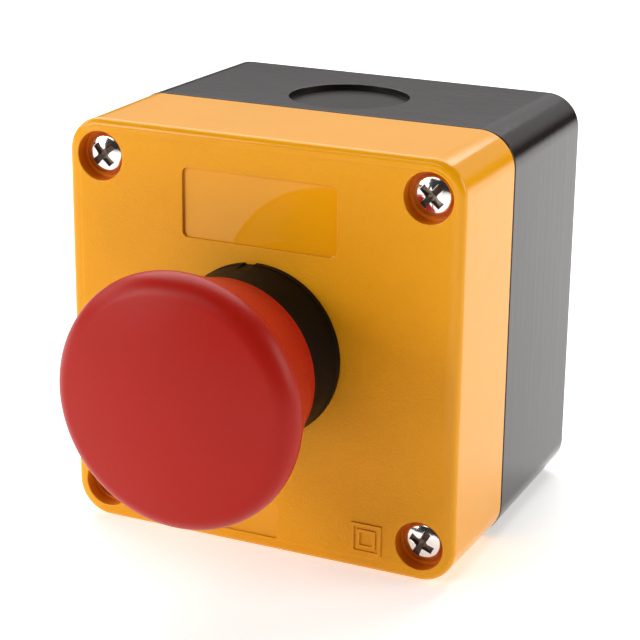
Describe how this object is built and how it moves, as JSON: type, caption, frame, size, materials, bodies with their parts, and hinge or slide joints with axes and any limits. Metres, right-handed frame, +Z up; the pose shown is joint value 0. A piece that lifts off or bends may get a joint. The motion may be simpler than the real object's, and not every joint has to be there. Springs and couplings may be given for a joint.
{
  "type": "emergency stop button",
  "caption": "Square enclosed control station, black base and yellow lid, with a red mushroom emergency stop button that pushes in to latch and pulls out to reset.",
  "frame": {"origin": "centre of the base's back face, where the station meets the wall or machine", "axes": "+Y out of the back face into the wall, the button faces -Y, +Z up, +X to the right of someone facing the button"},
  "size_m": [0.068, 0.0848, 0.0684],
  "materials": {
    "black_abs": "glossy moulded ABS",
    "yellow_abs": "fine-grained moulded ABS",
    "red_plastic": "satin moulded plastic",
    "black_polyamide": "glass-filled polyamide, matt",
    "rubber": "black nitrile rubber",
    "plated_steel": "bright nickel plating",
    "spring_steel": "bright drawn wire",
    "natural_plastic": "unpigmented acetal",
    "contact_brass": "stamped brass with contact tips",
    "green_plastic": "satin moulded plastic"
  },
  "bodies": {
    "station": {"base_box": "black_abs", "lid": "yellow_abs", "lid_gasket": "rubber", "lid_screws": "plated_steel", "operator_body": "black_polyamide", "panel_gasket": "rubber", "lock_washer": "plated_steel", "mounting_nut": "black_polyamide", "latch_clip": "spring_steel", "latch_cover": "natural_plastic", "sealing_boot": "rubber", "main_spring": "spring_steel", "spring_retainer": "natural_plastic", "retaining_ring": "spring_steel", "contact_carrier": "black_polyamide", "carrier_screws": "plated_steel", "nc_housing": "natural_plastic", "nc_cover": "black_polyamide", "nc_contact_spring": "spring_steel", "nc_return_spring": "spring_steel", "nc_fixed_contacts": "contact_brass", "nc_terminal_screws": "plated_steel", "nc_terminal_clamps": "plated_steel", "no_housing": "natural_plastic", "no_cover": "black_polyamide", "no_return_spring": "spring_steel", "no_fixed_contacts": "contact_brass", "no_terminal_screws": "plated_steel", "no_terminal_clamps": "plated_steel"},
    "button": {"mushroom_cap": "red_plastic", "mushroom_skirt": "red_plastic", "head_screw": "plated_steel", "stem": "natural_plastic", "pusher_plate": "natural_plastic", "pusher_screw": "plated_steel"},
    "nc_plunger_body": {"nc_plunger": "red_plastic"},
    "nc_bridge_body": {"nc_bridge": "contact_brass"},
    "no_plunger_body": {"no_plunger": "green_plastic", "no_contact_spring": "spring_steel"},
    "no_bridge_body": {"no_bridge": "contact_brass"}
  },
  "joints": [
    {"name": "press", "type": "slide", "parent": "station", "child": "button", "axis": [0, 1, 0], "range_m": [0, 0.0055], "deforming": ["main_spring", "sealing_boot", "latch_clip"]},
    {"name": "nc_plunger_slide", "type": "slide", "parent": "station", "child": "nc_plunger_body", "axis": [0, 1, 0], "range_m": [0, 0.0055], "deforming": ["nc_return_spring"]},
    {"name": "nc_bridge_slide", "type": "slide", "parent": "station", "child": "nc_bridge_body", "axis": [0, 1, 0], "range_m": [0, 0.004], "deforming": ["nc_contact_spring"]},
    {"name": "no_plunger_slide", "type": "slide", "parent": "station", "child": "no_plunger_body", "axis": [0, 1, 0], "range_m": [0, 0.0055], "deforming": ["no_return_spring"]},
    {"name": "no_bridge_slide", "type": "slide", "parent": "station", "child": "no_bridge_body", "axis": [0, 1, 0], "range_m": [0, 0.004], "deforming": ["no_contact_spring"]}
  ],
  "couplings": [
    {"joint": "nc_plunger_slide", "follows": "press", "ratio": 1},
    {"joint": "no_plunger_slide", "follows": "press", "ratio": 1},
    {"joint": "nc_bridge_slide", "follows": "press", "ratio": 0.7272},
    {"joint": "no_bridge_slide", "follows": "press", "ratio": 0.7272}
  ]
}
